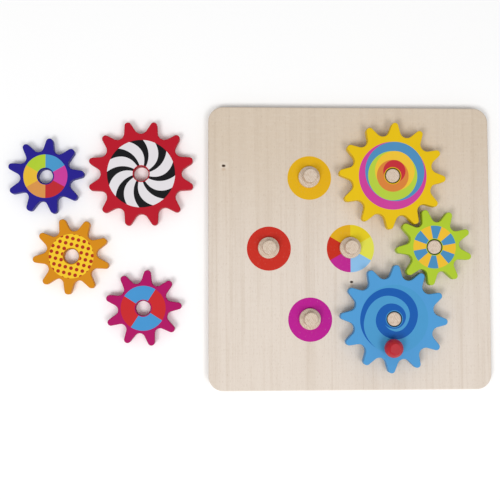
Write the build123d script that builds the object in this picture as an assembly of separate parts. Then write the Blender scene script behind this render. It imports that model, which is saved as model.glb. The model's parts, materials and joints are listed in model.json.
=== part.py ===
from build123d import *
from math import acos, atan2, cos, degrees, hypot, radians, sin
import os

# A wooden gear board lying flat on a table. Three gears are in mesh on their pegs,
# one of them turned by a crank knob, four pegs are free, and the four gears that
# fit them lie beside the board. Millimetres, +Z up, the origin in the middle of
# the board's underside, +Y towards the board's far edge.

# Board
board_width = 250.0
board_depth = 250.0
board_thickness = 10.0
board_corner_radius = 13.0
board_edge_round = 1.2

# Pegs: one in the middle and a ring of them round it, one pitch out
peg_pitch = 72.2
spindle_radius = 6.0
spindle_end_round = 1.0
spindle_above_gear = 0.5
collar_width = 3.35
collar_height = 4.0
collar_edge_round = 0.7

# Gears
gear_thickness = 9.0
gear_edge_round = 0.7
bore_clearance = 0.45
bore_chamfer = 0.4
large_teeth = 12
small_teeth = 9
large_addendum = 5.7
small_addendum = 2.5
root_clearance = 3.3
tooth_tip_radius = 3.0
large_valley_radius = 6.0
small_valley_radius = 4.8

# Crank knob, turned in one piece with the tenon that is glued into the crank gear. It is off
# the line of the gear's nearest tooth by the knob's turn, in degrees.
crank_radius = 25.0
knob_turn = -2.3
knob_head_radius = 8.1
knob_flat_radius = 4.3
knob_flat_edge_round = 0.3
knob_neck_radius = 5.0
knob_neck_height = 4.0
knob_widest_height = 8.5
knob_height = 16.5
knob_neck_fillet = 1.5
tenon_radius = 3.0
tenon_clearance = 0.05
tenon_end_gap = 0.3
wood_under_tenon = 2.2

# Countersunk wood screws that hold the pegs from below
screw_length = 16.0
screw_head_radius = 3.6
screw_head_recess = 0.4
screw_thread_radius = 1.75
screw_thread_depth = 0.55
screw_thread_pitch = 1.5
screw_tip_length = 3.0
screw_hole_clearance = 0.25
countersink_clearance = 0.1
pilot_clearance = 0.05
pilot_end_gap = 1.0
driver_slot_length = 3.8
driver_slot_width = 0.7
driver_slot_depth = 1.3

# How far, in degrees, the crank gear's nearest tooth is off the line to the next gear
crank_gear_turn = -3.4

# Where the four loose gears lie on the table. The red one is a gap away from the
# board's left edge, and each other one is a gap away from a gear that is already there,
# in a direction in degrees. Each has the direction of one of its teeth.
red_gap = 12.0
red_y = 65.6
red_tooth = 15.5
navy_gap = 2.9
magenta_gap = 37.7
orange_gap = 6.8
loose_gears = {
    "gear_navy": ("small", "gear_red", 181.7, navy_gap, 4.0),
    "gear_magenta": ("small", "gear_red", 271.0, magenta_gap, 3.5),
    "gear_orange": ("small", "gear_navy", 288.0, orange_gap, 24.9),
}

# Worked out from the sizes above
collar_radius = spindle_radius + collar_width
bore_radius = spindle_radius + bore_clearance
teeth_in_pair = large_teeth + small_teeth
large_outer_radius = peg_pitch * large_teeth / teeth_in_pair + large_addendum
small_outer_radius = peg_pitch * small_teeth / teeth_in_pair + small_addendum
large_root_radius = peg_pitch - small_outer_radius - root_clearance
small_root_radius = peg_pitch - large_outer_radius - root_clearance
gear_base_height = board_thickness + collar_height
gear_top_height = gear_base_height + gear_thickness
tenon_length = gear_thickness - wood_under_tenon - tenon_end_gap
screw_core_radius = screw_thread_radius - screw_thread_depth
screw_in_peg = screw_head_recess + screw_length - board_thickness

on_base = (Align.CENTER, Align.CENTER, Align.MIN)
under_top = (Align.CENTER, Align.CENTER, Align.MAX)


def turned(radius, angle):
    """X and Y of the point at this radius and angle in degrees."""
    return (radius * cos(radians(angle)), radius * sin(radians(angle)))


def beyond(start, direction, distance):
    """X and Y of the point that lies this way and this far from start."""
    x, y = turned(distance, direction)
    return (start[0] + x, start[1] + y)


def direction_between(start, end):
    """The direction from start to end, in degrees."""
    return degrees(atan2(end[1] - start[1], end[0] - start[0]))


def tooth_outline(teeth, outer_radius, root_radius, valley_radius):
    """A gear's outline: round tips and round valleys, joined by straight flanks tangent to both."""
    half_pitch = 180 / teeth
    tip_x = outer_radius - tooth_tip_radius
    valley_x, valley_y = turned(root_radius + valley_radius, half_pitch)
    run = hypot(valley_x - tip_x, valley_y)
    square_to_flank = degrees(
        atan2(valley_y, valley_x - tip_x) - acos((tooth_tip_radius + valley_radius) / run)
    )
    tip_end = beyond((tip_x, 0), square_to_flank, tooth_tip_radius)
    valley_end = beyond((valley_x, valley_y), square_to_flank, -valley_radius)

    def on_tooth(point, tooth, side):
        angle = side * degrees(atan2(point[1], point[0])) + 2 * half_pitch * tooth
        return turned(hypot(*point), angle)

    edges = []
    for tooth in range(teeth):
        tip_middle = turned(outer_radius, 2 * half_pitch * tooth)
        valley_middle = turned(root_radius, 2 * half_pitch * tooth + half_pitch)
        low_valley, low_tip = on_tooth(valley_end, tooth, -1), on_tooth(tip_end, tooth, -1)
        high_tip, high_valley = on_tooth(tip_end, tooth, 1), on_tooth(valley_end, tooth, 1)
        next_valley = on_tooth(valley_end, tooth + 1, -1)
        edges.append(Line(low_valley, low_tip))
        edges.append(ThreePointArc(low_tip, tip_middle, high_tip))
        edges.append(Line(high_tip, high_valley))
        edges.append(ThreePointArc(high_valley, valley_middle, next_valley))
    return make_face(Wire(edges))


def make_gear(outline):
    """A gear with its underside at Z 0, its middle on the Z axis and a tooth towards +X."""
    blank = extrude(outline, gear_thickness)
    rims = blank.edges().group_by(Axis.Z)
    blank = fillet(rims[0] + rims[-1], gear_edge_round)
    bore = Cylinder(bore_radius, gear_thickness, align=on_base)
    mouth = Cone(bore_radius + bore_chamfer, bore_radius, bore_chamfer, align=on_base)
    upper_mouth = Pos(0, 0, gear_thickness) * Rot(180, 0, 0) * mouth
    return blank - bore - mouth - upper_mouth


def make_peg():
    """A turned peg with its foot at Z 0: a collar that carries the gear and a spindle for its bore."""
    collar = Cylinder(collar_radius, collar_height, align=on_base)
    collar = fillet(collar.edges().group_by(Axis.Z)[-1], collar_edge_round)
    peg_height = collar_height + gear_thickness + spindle_above_gear
    spindle = Cylinder(spindle_radius, peg_height, align=on_base)
    spindle = fillet(spindle.edges().group_by(Axis.Z)[-1], spindle_end_round)
    pilot = Cylinder(screw_thread_radius + pilot_clearance, screw_in_peg + pilot_end_gap, align=on_base)
    return collar + spindle - pilot


def make_knob():
    """The crank knob with its foot on Z 0 and its tenon below: a neck that flares into a round head."""
    under_head = EllipticalCenterArc(
        (knob_neck_radius, knob_widest_height),
        knob_head_radius - knob_neck_radius,
        knob_widest_height - knob_neck_height,
        start_angle=-90,
        arc_size=90,
    )
    widest, flat_rim = (knob_head_radius, knob_widest_height), (knob_flat_radius, knob_height)
    over_head = TangentArc(widest, flat_rim, tangent=(0, 1))
    foot = Polyline((0, 0), (knob_neck_radius, 0), (knob_neck_radius, knob_neck_height))
    top = Polyline(flat_rim, (0, knob_height), (0, 0))
    knob = revolve(Plane.XZ * make_face(foot + under_head + over_head + top), Axis.Z)
    neck_edge = knob.edges().sort_by(lambda edge: abs(edge.center().Z - knob_neck_height))[0]
    knob = fillet(neck_edge, knob_neck_fillet)
    knob = fillet(knob.edges().sort_by(Axis.Z)[-1], knob_flat_edge_round)
    return knob + Cylinder(tenon_radius, tenon_length, align=under_top)


def make_screw():
    """A wood screw, head down, with the head's flat end at Z 0 and its point upwards."""
    cone_height = screw_head_radius - screw_core_radius
    outline = [(0, 0), (screw_head_radius, 0), (screw_core_radius, cone_height)]
    thread_top = screw_length - screw_tip_length
    height = cone_height + screw_thread_pitch
    while height + screw_thread_pitch <= thread_top:
        outline.append((screw_core_radius, height))
        outline.append((screw_thread_radius, height + screw_thread_pitch / 2))
        height += screw_thread_pitch
    outline += [(screw_core_radius, thread_top), (0, screw_length)]
    body = revolve(Plane.XZ * make_face(Polyline(*outline, close=True)), Axis.Z)
    slot = Box(driver_slot_length, driver_slot_width, driver_slot_depth, align=on_base)
    return body - slot - Rot(0, 0, 90) * slot


def make_board(peg_places):
    """The plywood board, with a countersunk hole from below at each peg."""
    slab = extrude(RectangleRounded(board_width, board_depth, board_corner_radius), board_thickness)
    rims = slab.edges().group_by(Axis.Z)
    slab = fillet(rims[0] + rims[-1], board_edge_round)
    hole_radius = screw_thread_radius + screw_hole_clearance
    sink_radius = screw_head_radius + countersink_clearance + screw_head_recess
    hole = Cylinder(hole_radius, board_thickness, align=on_base)
    sink = Cone(sink_radius, hole_radius, sink_radius - hole_radius, align=on_base)
    for x, y in peg_places:
        slab -= Pos(x, y, 0) * (hole + sink)
    return slab


def in_mesh(tooth, teeth, direction, mate_teeth):
    """The direction of a tooth on the gear that lies this way from one with a tooth at tooth.

    A tooth of the first gear that is off the line between them by some angle meets a valley
    of the second that is off it, turned the other way, by that angle times the ratio.
    """
    half_pitch = 180 / teeth
    off_line = (tooth - direction + half_pitch) % (2 * half_pitch) - half_pitch
    valley = direction + 180 - off_line * teeth / mate_teeth
    return valley + 180 / mate_teeth


ring_names = ["right", "upper_right", "upper_left", "left", "lower_left", "lower_right"]
pegs = {"middle": (0.0, 0.0)}
for place, ring_name in enumerate(ring_names):
    pegs[ring_name] = turned(peg_pitch, place * 360 / len(ring_names))

crank_to_idler = direction_between(pegs["lower_right"], pegs["right"])
idler_to_top = direction_between(pegs["right"], pegs["upper_right"])
crank_tooth = crank_to_idler + crank_gear_turn
idler_tooth = in_mesh(crank_tooth, large_teeth, crank_to_idler, small_teeth)
top_tooth = in_mesh(idler_tooth, small_teeth, idler_to_top, large_teeth)

# The knob stands by the crank gear's tooth that is nearest to straight down the board
tooth_step = 360 / large_teeth
knob_tooth = crank_tooth - round((crank_tooth + 90) / tooth_step) * tooth_step
knob_direction = knob_tooth + knob_turn

outer_radii = {"large": large_outer_radius, "small": small_outer_radius}
gears = {
    "large": make_gear(
        tooth_outline(large_teeth, large_outer_radius, large_root_radius, large_valley_radius)
    ),
    "small": make_gear(
        tooth_outline(small_teeth, small_outer_radius, small_root_radius, small_valley_radius)
    ),
}
peg = make_peg()
screw = make_screw()

pieces = {"base_board": make_board(pegs.values())}
for name, (x, y) in pegs.items():
    pieces["peg_" + name] = Pos(x, y, board_thickness) * peg
    pieces["screw_" + name] = Pos(x, y, screw_head_recess) * screw

crank_gear = Pos(*pegs["lower_right"], gear_base_height) * Rot(0, 0, crank_tooth) * gears["large"]
knob_place = Pos(*beyond(pegs["lower_right"], knob_direction, crank_radius), gear_top_height)
tenon_hole = Cylinder(tenon_radius + tenon_clearance, tenon_length + tenon_end_gap, align=under_top)
pieces["gear_crank"] = crank_gear - knob_place * tenon_hole
pieces["crank_knob"] = knob_place * make_knob()
pieces["gear_green"] = Pos(*pegs["right"], gear_base_height) * Rot(0, 0, idler_tooth) * gears["small"]
pieces["gear_yellow"] = Pos(*pegs["upper_right"], gear_base_height) * Rot(0, 0, top_tooth) * gears["large"]

red_x = -board_width / 2 - red_gap - large_outer_radius
lying = {"gear_red": ("large", (red_x, red_y), red_tooth)}
for name, (size, beside, direction, gap, tooth) in loose_gears.items():
    other_size, other_place, _ = lying[beside]
    distance = outer_radii[other_size] + gap + outer_radii[size]
    lying[name] = (size, beyond(other_place, direction, distance), tooth)
for name, (size, place, tooth) in lying.items():
    pieces[name] = Pos(*place, 0) * Rot(0, 0, tooth) * gears[size]
    print(f"{name} lies at {place[0]:.4f}, {place[1]:.4f}")

os.makedirs("parts", exist_ok=True)
for name, piece in pieces.items():
    piece.label = name
    export_step(piece, f"parts/{name}.step")
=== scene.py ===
import json
import math
import bpy
from mathutils import Matrix, Quaternion, Vector


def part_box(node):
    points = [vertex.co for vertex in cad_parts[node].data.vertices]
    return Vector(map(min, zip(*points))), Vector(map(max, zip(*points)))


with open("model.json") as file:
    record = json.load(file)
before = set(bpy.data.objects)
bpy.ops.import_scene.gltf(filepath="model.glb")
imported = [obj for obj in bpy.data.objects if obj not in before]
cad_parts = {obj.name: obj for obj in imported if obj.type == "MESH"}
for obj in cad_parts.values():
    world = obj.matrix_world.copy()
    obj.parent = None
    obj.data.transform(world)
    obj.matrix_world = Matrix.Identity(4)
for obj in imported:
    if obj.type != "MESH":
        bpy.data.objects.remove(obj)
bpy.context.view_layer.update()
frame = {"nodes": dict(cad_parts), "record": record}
nodes = frame["nodes"]
print("frame loaded:", len(nodes), "nodes")

mm = 0.001


def shade(red, green, blue):  # a colour as a paint chart gives it, 0 to 255, made linear
    def linear(part):
        part /= 255
        return part / 12.92 if part <= 0.04045 else ((part + 0.055) / 1.055) ** 2.4
    return (linear(red), linear(green), linear(blue), 1)


camera = {
    "place": (-0.12582, -0.04069, 0.79903),
    "aim": (-0.08847, -0.00177, 0.010),
    "roll": -0.2,  # degrees
    "lens": 64.8, "sensor": 36,  # mm
}
studio = {
    "room": (1.0, 1.0, 1.0), "roomStrength": 0.5,
    "lamps": {  # place, size in metres, power in watts
        "rightLamp": ((0.66, -0.95, 2.30), 1.00, 19.0),
        "leftLamp": ((-0.95, -0.95, 2.20), 0.90, 24.5),
    },
}


def aimed(thing, place, aim, roll=0):  # the top of what it sees is towards the board's far edge
    look = (Vector(aim) - Vector(place)).normalized()
    across = look.cross(Vector((0, 1, 0))).normalized()
    turn = Matrix((across, across.cross(look), -look)).transposed().to_quaternion()
    turn = turn @ Quaternion((0, 0, 1), math.radians(roll))
    thing.location = place
    thing.rotation_euler = turn.to_euler()


def addLight(name, place, size, power):
    lamp = bpy.data.lights.new(name, "AREA")
    lamp.shape = "DISK"
    lamp.size = size
    lamp.energy = power
    holder = bpy.data.objects.new(name, lamp)
    bpy.context.collection.objects.link(holder)
    aimed(holder, place, (0, 0, 0))


def setStudio():
    scene = bpy.context.scene
    scene.view_settings.view_transform = "Standard"
    lens = bpy.data.cameras.new("camera")
    lens.lens = camera["lens"]
    lens.sensor_width = camera["sensor"]
    holder = bpy.data.objects.new("camera", lens)
    bpy.context.collection.objects.link(holder)
    aimed(holder, camera["place"], camera["aim"], camera["roll"])
    scene.camera = holder
    world = bpy.data.worlds.new("studio")
    world.use_nodes = True
    back = world.node_tree.nodes["Background"]
    back.inputs["Color"].default_value = (*studio["room"], 1)
    back.inputs["Strength"].default_value = studio["roomStrength"]
    scene.world = world
    for name, (place, size, power) in studio["lamps"].items():
        addLight(name, place, size, power)


setStudio()
print("camera and lights are set")


class Link:  # a socket that sums can be written with: each sum adds a Math node
    def __init__(self, finish, socket):
        self.finish = finish
        self.socket = socket

    def output(self, name):  # another output of the same node
        return Link(self.finish, self.socket.node.outputs[name])

    def maths(self, operation, *values):
        return self.finish.add("ShaderNodeMath", {"operation": operation}, dict(enumerate(values)))

    def __add__(self, other):
        return self.maths("ADD", self, other)

    def __radd__(self, other):
        return self.maths("ADD", other, self)

    def __sub__(self, other):
        return self.maths("SUBTRACT", self, other)

    def __rsub__(self, other):
        return self.maths("SUBTRACT", other, self)

    def __mul__(self, other):
        return self.maths("MULTIPLY", self, other)

    def __rmul__(self, other):
        return self.maths("MULTIPLY", other, self)

    def __truediv__(self, other):
        return self.maths("DIVIDE", self, other)

    def __rtruediv__(self, other):
        return self.maths("DIVIDE", other, self)

    def __pow__(self, other):
        return self.maths("POWER", self, other)

    def __lt__(self, other):
        return self.maths("LESS_THAN", self, other)

    def __gt__(self, other):
        return self.maths("GREATER_THAN", self, other)

    def __mod__(self, other):  # always from 0 up, also for what is negative
        return self.maths("WRAP", self, other, 0)

    def __abs__(self):
        return self.maths("ABSOLUTE", self)


class Finish:  # a material, whose other nodes all come from add
    def __init__(self, name):
        self.material = bpy.data.materials.new(name)
        self.material.use_nodes = True
        self.tree = self.material.node_tree
        self.tree.nodes.clear()
        self.place = self.add("ShaderNodeTexCoord", output="Object")

    def add(self, kind, settings=None, inputs=None, output=0):
        node = self.tree.nodes.new(kind)
        for name, value in (settings or {}).items():
            if name == "stops":
                self.setStops(node.color_ramp, value)
            elif name == "ease":
                node.color_ramp.interpolation = value
            else:
                setattr(node, name, value)
        for name, value in (inputs or {}).items():
            if isinstance(value, Link):
                self.tree.links.new(value.socket, node.inputs[name])
            else:
                node.inputs[name].default_value = value
        return Link(self, node.outputs[output]) if len(node.outputs) else None

    def setStops(self, ramp, stops):
        while len(ramp.elements) < len(stops):
            ramp.elements.new(1)
        for element, (position, value) in zip(ramp.elements, stops):
            element.position = position
            element.color = (value, value, value, 1)

    def noise(self, stretch, detail=2, roughness=0.5):  # stretch is in waves per metre
        place = self.add("ShaderNodeMapping", {}, {"Vector": self.place, "Scale": stretch})
        inputs = {"Vector": place, "Scale": 1, "Detail": detail, "Roughness": roughness}
        return self.add("ShaderNodeTexNoise", {}, inputs, "Fac")

    def axes(self):  # the place in millimetres
        x = self.add("ShaderNodeSeparateXYZ", {}, {"Vector": self.place})
        return x / mm, x.output("Y") / mm, x.output("Z") / mm

    def smooth(self, value, low, high):  # 0 at low, 1 at high
        inputs = {"Value": value, "From Min": low, "From Max": high}
        return self.add("ShaderNodeMapRange", {"interpolation_type": "SMOOTHSTEP"}, inputs)

    def mix(self, mask, under, over):
        return self.add("ShaderNodeMix", {"data_type": "RGBA"}, {0: mask, 6: under, 7: over}, 2)

    def shaded(self, colour, amount):  # amount is 1 where the colour stays as it is
        grey = self.add("ShaderNodeCombineColor", {}, {"Red": amount, "Green": amount, "Blue": amount})
        settings = {"data_type": "RGBA", "blend_type": "MULTIPLY"}
        return self.add("ShaderNodeMix", settings, {0: 1, 6: colour, 7: grey}, 2)

    def close(self, colour, roughness, height=None, depth=0, gloss=0.3, metal=0):  # depth in metres
        inputs = {"Base Color": colour, "Roughness": roughness, "Specular IOR Level": gloss, "Metallic": metal}
        if height:
            inputs["Normal"] = self.add("ShaderNodeBump", {}, {"Height": height, "Distance": depth}, "Normal")
        surface = self.add("ShaderNodeBsdfPrincipled", {}, inputs)
        self.add("ShaderNodeOutputMaterial", {}, {"Surface": surface})
        return self.material


def dress(node, material):
    mesh = nodes[node].data
    mesh.materials.clear()
    mesh.materials.append(material)


def middle(node):  # the middle of a node from above, in mm
    low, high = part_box(node)
    return (low.x + high.x) / 2 / mm, (low.y + high.y) / 2 / mm


def spread(x, y):  # how far a point lies from the middle
    return (x * x + y * y) ** 0.5


def bearing(x, y):  # in degrees, 0 to 360 from +X
    return x.maths("ARCTAN2", y, x) * (180 / math.pi) % 360


def printSectors(finish, under, mask, angle, sectors):  # sectors are (end angle, colour) from 0 round to 360
    colour = sectors[-1][1]
    for end, ink in reversed(sectors[:-1]):
        colour = finish.mix(angle < end, colour, ink)
    return finish.mix(mask, under, colour)


board = {
    "warm": shade(211, 195, 176), "cool": shade(221, 209, 197), "coolFrom": 140,  # the near half is drawn lighter and cooler, the far half darker and warmer
    "late": shade(190, 172, 152), "silk": shade(228, 219, 206), "fibre": shade(158, 134, 112),
    "grain": {  # waves per metre across, along and through the board, detail, roughness
        "wide": ((34, 2.5, 20), 2, 0.5), "bands": ((430, 7, 160), 3, 0.6),
        "streaks": ((75, 3, 40), 3, 0.55), "fibres": ((1900, 60, 300), 4, 0.62),
        "pores": ((3200, 330, 500), 1, 0.5), "ripple": ((120, 420, 90), 2, 0.6),
    },
    "layers": [  # grain, the values where it begins and is full, strength, colour
        ("streaks", 0.45, 0.7, 0.16, "late"), ("bands", 0.45, 0.75, 0.3, "late"),
        ("ripple", 0.45, 0.7, 0.12, "silk"), ("fibres", 0.5, 0.8, 0.3, "late"),
        ("pores", 0.62, 0.74, 0.4, "fibre"),
    ],
    "relief": 0.06 * mm, "gloss": 0.2,
    "plies": 5, "glueShare": 0.07,  # how much of a layer is glue
    "crossPly": shade(168, 138, 106), "glueLine": shade(132, 102, 74),
    "inkDepth": 0.15,  # how near the top face a point must be to be printed, in mm
    "printSlip": (0.35, -0.55),  # how far the print is off the pegs, in mm
}
knot = {
    "places": [  # how far across and up the board, and the radius, in mm
        (-111.5, 72.6, 1.25), (1.1, -30.1, 1.1), (53.0, 26.3, 0.4), (47.2, 34.5, 0.35),
    ],
    "core": shade(62, 44, 30), "rim": shade(186, 152, 118), "halo": shade(232, 222, 208),
    "squeeze": 0.75, "rimDrop": 2.4,  # how it is drawn out across, and how far below the rim is, in radii
}
rings = {  # radius in mm, sectors
    "peg_upper_left": (19.4, [(360, shade(220, 171, 0))]),
    "peg_left": (19.4, [(360, shade(193, 36, 17))]),
    "peg_lower_left": (19.4, [(360, shade(180, 0, 139))]),
    "peg_middle": (21.0, [
        (30, shade(220, 218, 74)), (90, shade(221, 199, 18)), (150, shade(217, 167, 8)),
        (210, shade(192, 36, 5)), (270, shade(185, 25, 139)), (330, shade(137, 187, 228)),
        (360, shade(220, 218, 74)),
    ]),
}


def addKnots(finish, colour, x, y, wander, shown):
    for across, up, size in knot["places"]:
        dx, dy, ragged = (x - across) * knot["squeeze"], y - up, (wander - 0.5) * size
        reach = spread(dx, dy) + ragged
        below = spread(dx, dy + size * knot["rimDrop"]) + ragged
        halo = (1 - finish.smooth(reach, size, size * 3.5)) * 0.35
        rim = (1 - finish.smooth(below, 0, size * 1.8)) * 0.5
        core = 1 - finish.smooth(reach, size * 0.6, size * 1.3)
        for mask, ink in ((halo, knot["halo"]), (rim, knot["rim"]), (core, knot["core"])):
            colour = finish.mix(mask * shown, colour, ink)
    return colour


def addPlies(finish, colour, z, thick):  # the edge shows the layers that run across, and the glue between them
    layer = z / (thick / board["plies"])
    inside = (layer > 0.5) * (layer < board["plies"] - 0.5)
    crossed = (layer % 2 > 1) * inside
    ragged = finish.noise((400, 400, 3000))
    colour = finish.mix(crossed, colour, finish.shaded(board["crossPly"], 0.75 + ragged * 0.5))
    glue = abs(layer % 1 - 0.5) > (1 - board["glueShare"]) / 2
    return finish.mix(glue * inside * 0.6, colour, board["glueLine"])


def makePlywood():
    finish = Finish("plywood")
    x, y, z = finish.axes()
    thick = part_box("base_board")[1].z / mm
    grain = {name: finish.noise(*how) for name, how in board["grain"].items()}
    fade = finish.smooth(y + grain["wide"] * 60, board["coolFrom"], 0)
    colour = finish.mix(fade, board["warm"], board["cool"])
    for name, low, high, strength, tone in board["layers"]:
        colour = finish.mix(finish.smooth(grain[name], low, high) * strength, colour, board[tone])
    colour = addKnots(finish, colour, x, y, grain["fibres"], z > thick / 2)
    colour = addPlies(finish, colour, z, thick)
    onTop = z > thick - board["inkDepth"]
    shine = 0.5 + grain["fibres"] * 0.2
    bitten = 1 - finish.smooth(grain["pores"], 0.66, 0.8) * 0.3  # the ink is thinner over the pores
    for name, (reach, sectors) in rings.items():
        across, up = [at + off for at, off in zip(middle(name), board["printSlip"])]
        inked = onTop * (spread(x - across, y - up) < reach)
        colour = printSectors(finish, colour, inked * bitten, bearing(x - across, y - up), sectors)
        shine = shine - inked * 0.1
    height = grain["fibres"] + grain["pores"] * 0.5
    return finish.close(colour, shine, height, board["relief"], board["gloss"])


dress("base_board", makePlywood())
print("board is finished")


peg = {
    "wood": shade(216, 199, 181), "ring": shade(180, 154, 130), "ray": shade(146, 116, 92),
    "ringSpacing": 1.5, "ringWander": 4, "ringTurn": 34,  # mm, mm and degrees
    "relief": 0.06 * mm,
}


def makePegWood():
    finish = Finish("peg wood")
    x, y, z = finish.axes()
    turn = math.radians(peg["ringTurn"])
    wander = finish.noise((160, 160, 25)) * peg["ringWander"]
    grown = (x * math.cos(turn) + y * math.sin(turn) + wander) / peg["ringSpacing"] % 1
    pores = finish.noise((2600, 2600, 260), 2, 0.6)
    blotch = finish.noise((420, 420, 130), 2, 0.6)
    colour = finish.mix(finish.smooth(grown, 0.35, 1) * 0.5, peg["wood"], peg["ring"])
    colour = finish.mix(finish.smooth(blotch, 0.45, 0.65) * 0.4, colour, peg["ring"])
    colour = finish.mix(finish.smooth(pores, 0.58, 0.72) * 0.5, colour, peg["ray"])
    return finish.close(colour, 0.5 + grown * 0.12, pores - grown * 0.4, peg["relief"])


pegWood = makePegWood()
for name in nodes:
    if name.startswith("peg_"):
        dress(name, pegWood)
print("pegs are finished")


paint = {  # lengths are in mm
    "inkDepth": 0.15,
    "bareRing": 7.5,  # the narrow ring round the bore that isn't printed ends here
    "boreShadeOnPeg": (7.1, 0.88), "boreShadeLoose": (6.9, 0.72),  # painted shade round the bore's mouth: how far from the middle it reaches, and how dark it is
    "boreShadeDepth": 0.5, "boreShadeBlur": 0.25,
    "thinEdge": (0.75, 0.45, 0.2, 0.02),  # under the top: where thin paint begins, is thinnest, and ends
    "gloss": 0.14, "relief": 0.03 * mm,
}


def inkedRing(onTop, radius, reach):
    return onTop * (radius > paint["bareRing"]) * (radius < reach)


yellowGear = {
    "base": shade(224, 186, 10),
    "discs": [  # radius, how far across and up it stands off the bore, ink
        (29.8, 0.0, 0.0, shade(198, 62, 148)), (26.1, 1.9, 3.75, shade(76, 138, 184)),
        (21.7, 0.0, 0.0, shade(176, 200, 62)), (17.5, 1.9, 4.2, shade(230, 188, 52)),
        (14.0, 0.0, -0.1, shade(210, 126, 56)), (9.8, 1.5, 4.0, shade(190, 44, 54)),
    ],
}


def printYellow(finish, x, y, onTop):
    colour = yellowGear["base"]
    bare = (paint["bareRing"], 0, 0, yellowGear["base"])
    for reach, across, up, ink in (*yellowGear["discs"], bare):
        colour = finish.mix(onTop * (spread(x - across, y - up) < reach), colour, ink)
    return colour


greenGear = {
    "base": shade(169, 196, 45), "gold": shade(230, 183, 46), "blue": shade(70, 137, 184),
    "reach": 18.7, "pairs": 6, "start": 70,  # mm, pairs of sectors, and where a blue one begins in degrees
}


def printGreen(finish, x, y, onTop):
    step = 360 / greenGear["pairs"]
    inBlue = (bearing(x, y) - greenGear["start"]) % step < step / 2
    ring = inkedRing(onTop, spread(x, y), greenGear["reach"])
    return finish.mix(ring, greenGear["base"], finish.mix(inBlue, greenGear["gold"], greenGear["blue"]))


crankGear = {
    "base": shade(76, 150, 205), "light": shade(70, 148, 198), "dark": shade(12, 87, 169),
    "reach": 29.8, "start": 236,  # in mm and degrees: the dark band begins here and winds inwards clockwise
    "outerEdge": [  # of the band: turns from the start, radius in mm
        (0, 29.6), (0.164, 29.8), (0.388, 27.1), (0.644, 20.6), (0.891, 17.6), (1.154, 16.2),
        (1.378, 13.7), (1.653, 10.0), (1.911, 8.4), (2.069, 9.4), (2.2, 9.4),
    ],
    "innerEdge": [
        (0, 29.6), (0.156, 26.1), (0.387, 20.1), (0.638, 13.4), (0.891, 10.8), (1.069, 9.4), (2.2, 9.4),
    ],
    "turns": 2.2, "widest": 30,  # what the edges' curves are scaled by
}


def printCrank(finish, x, y, onTop):
    radius = spread(x, y)
    wound = (crankGear["start"] - bearing(x, y)) % 360 / 360

    def edge(name, turns):
        stops = [(at / crankGear["turns"], reach / crankGear["widest"]) for at, reach in crankGear[name]]
        settings = {"stops": stops, "ease": "CARDINAL"}
        curve = finish.add("ShaderNodeValToRGB", settings, {"Fac": turns / crankGear["turns"]})
        return curve * crankGear["widest"]

    gaps = [  # the light bands inside the first turn and the second
        (radius < edge("innerEdge", wound + turns)) * (radius > edge("outerEdge", wound + (turns + 1)))
        for turns in (0, 1)
    ]
    dark = (radius < edge("outerEdge", wound)) * (1 - (gaps[0] + gaps[1]))
    disc = finish.mix(onTop * (radius < crankGear["reach"]), crankGear["base"], crankGear["light"])
    return finish.mix(onTop * dark * (radius > paint["bareRing"]), disc, crankGear["dark"])


navyGear = {
    "base": shade(34, 26, 136), "reach": 19.1,
    "sectors": [
        (30, shade(196, 58, 150)), (90, shade(70, 146, 196)), (150, shade(172, 200, 50)),
        (210, shade(226, 182, 52)), (270, shade(211, 144, 74)), (331, shade(184, 38, 46)),
        (360, shade(196, 58, 150)),
    ],
}


def printNavy(finish, x, y, onTop):
    ring = inkedRing(onTop, spread(x, y), navyGear["reach"])
    return printSectors(finish, navyGear["base"], ring, bearing(x, y), navyGear["sectors"])


redGear = {
    "base": shade(180, 17, 38), "pale": shade(222, 218, 222), "black": shade(14, 14, 18),
    "reach": 29.8, "blades": 8,
    "leading": (69.7, 0.055, 0.0442), "trailing": (49.7, 0.771, 0.0163),  # degrees, by powers of the radius
}


def printRed(finish, x, y, onTop):
    radius = spread(x, y)
    leading, trailing = [
        start + slope * radius + bend * radius * radius
        for start, slope, bend in (redGear["leading"], redGear["trailing"])
    ]
    inBlade = (bearing(x, y) - trailing) % (360 / redGear["blades"]) < leading - trailing
    ring = inkedRing(onTop, radius, redGear["reach"])
    return finish.mix(ring, redGear["base"], finish.mix(inBlade, redGear["pale"], redGear["black"]))


orangeGear = {
    "base": shade(207, 134, 11), "gold": shade(238, 196, 40), "dots": shade(170, 44, 18),
    "reach": 19.4, "spacing": 5.07, "dot": 1.6, "lean": -14.6,  # mm, and the lean of the rows in degrees
}


def printOrange(finish, x, y, onTop):
    lean = math.radians(orangeGear["lean"])
    along = (x * math.cos(lean) + y * math.sin(lean)) / orangeGear["spacing"]
    across = (y * math.cos(lean) - x * math.sin(lean)) / orangeGear["spacing"]
    inDot = spread(along % 1 - 0.5, (across + 0.5) % 1 - 0.5) * orangeGear["spacing"] < orangeGear["dot"]
    ring = inkedRing(onTop, spread(x, y), orangeGear["reach"])
    return finish.mix(ring, orangeGear["base"], finish.mix(inDot, orangeGear["gold"], orangeGear["dots"]))


magentaGear = {
    "base": shade(170, 0, 94), "red": shade(196, 34, 38), "blue": shade(66, 144, 202),
    "reach": 19.6, "start": 57,  # mm, and where one of the two blue quarters begins in degrees
}


def printMagenta(finish, x, y, onTop):
    inBlue = (bearing(x, y) - magentaGear["start"]) % 180 < 90
    ring = inkedRing(onTop, spread(x, y), magentaGear["reach"])
    return finish.mix(ring, magentaGear["base"], finish.mix(inBlue, magentaGear["red"], magentaGear["blue"]))


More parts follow.
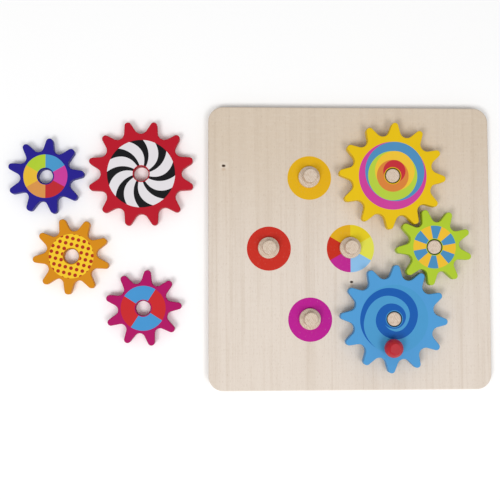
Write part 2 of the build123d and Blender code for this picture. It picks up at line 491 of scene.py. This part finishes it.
def closePaint(finish, colour, z, top):
    grain = finish.noise((1400, 60, 500), 3, 0.6)
    peel = finish.noise((900, 900, 900))
    blotch = finish.noise((60, 60, 60))
    begins, thinnest, thickens, ends = [top - under for under in paint["thinEdge"]]
    thin = finish.smooth(z, begins, thinnest) * (1 - finish.smooth(z, thickens, ends))
    colour = finish.shaded(colour, 0.93 + blotch * 0.08 + grain * 0.06 - thin * 0.08)
    rough = 0.36 + blotch * 0.12 + grain * 0.08
    return finish.close(colour, rough, grain + peel * 0.5, paint["relief"], paint["gloss"])


gears = {  # its print, and the peg it is on or the mount at its bore
    "gear_yellow": (printYellow, "peg_upper_right"),
    "gear_green": (printGreen, "peg_right"),
    "gear_crank": (printCrank, "peg_lower_right"),
    "gear_navy": (printNavy, "navy_gear_bore"),
    "gear_red": (printRed, "red_gear_bore"),
    "gear_orange": (printOrange, "orange_gear_bore"),
    "gear_magenta": (printMagenta, "magenta_gear_bore"),
}


def boreCentre(place):
    if place in nodes:
        return middle(place)
    for mount in frame["record"]["mounts"]:
        if mount["name"] == place:
            return mount["pos_m"][0] / mm, mount["pos_m"][1] / mm


for node, (printOn, place) in gears.items():
    finish = Finish(node.replace("_", " ") + " paint")
    x, y, z = finish.axes()
    across, up = boreCentre(place)
    x, y = x - across, y - up
    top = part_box(node)[1].z / mm
    colour = printOn(finish, x, y, z > top - paint["inkDepth"])
    # painted shade: the bore's mouth is darkened as if the gap round the spindle lay in shadow, less on a
    # loose gear
    reach, dark = paint["boreShadeOnPeg" if place in nodes else "boreShadeLoose"]
    paintedBoreShade = 1 - finish.smooth(spread(x, y), reach - paint["boreShadeBlur"], reach)
    colour = finish.shaded(colour, 1 - paintedBoreShade * (z > top - paint["boreShadeDepth"]) * dark)
    dress(node, closePaint(finish, colour, z, top))
print("gears are painted")


knob = {"paint": shade(176, 26, 40), "relief": 0.03 * mm}
screw = {"dull": shade(150, 146, 138), "bright": shade(196, 192, 182), "relief": 0.02 * mm, "gloss": 0.5}


def makeKnobPaint():
    finish = Finish("knob red")
    blotch = finish.noise((300, 300, 120))
    turned = finish.noise((60, 60, 2500))
    colour = finish.shaded(knob["paint"], 0.9 + blotch * 0.2)
    return finish.close(colour, 0.28 + blotch * 0.1, turned + blotch, knob["relief"])


def makeScrewSteel():
    finish = Finish("screw steel")
    scuffs = finish.noise((1800, 1800, 1800), 3, 0.6)
    colour = finish.mix(scuffs, screw["dull"], screw["bright"])
    return finish.close(colour, 0.3 + scuffs * 0.25, scuffs, screw["relief"], screw["gloss"], metal=1)


dress("crank_knob", makeKnobPaint())
screwSteel = makeScrewSteel()
for name in nodes:
    if name.startswith("screw_"):
        dress(name, screwSteel)
print("knob and screws are finished")


table = {"size": 12, "drop": 0.0002, "colour": (0.97, 0.97, 0.97, 1), "roughness": 0.8}  # lengths in metres


def makeTable():
    bpy.ops.object.select_all(action="DESELECT")
    bpy.ops.mesh.primitive_plane_add(size=table["size"], location=(0, 0, -table["drop"]))
    floor = bpy.context.object
    floor.name = "table"
    floor.data.materials.append(Finish("table").close(table["colour"], table["roughness"]))


makeTable()
print("table is laid")
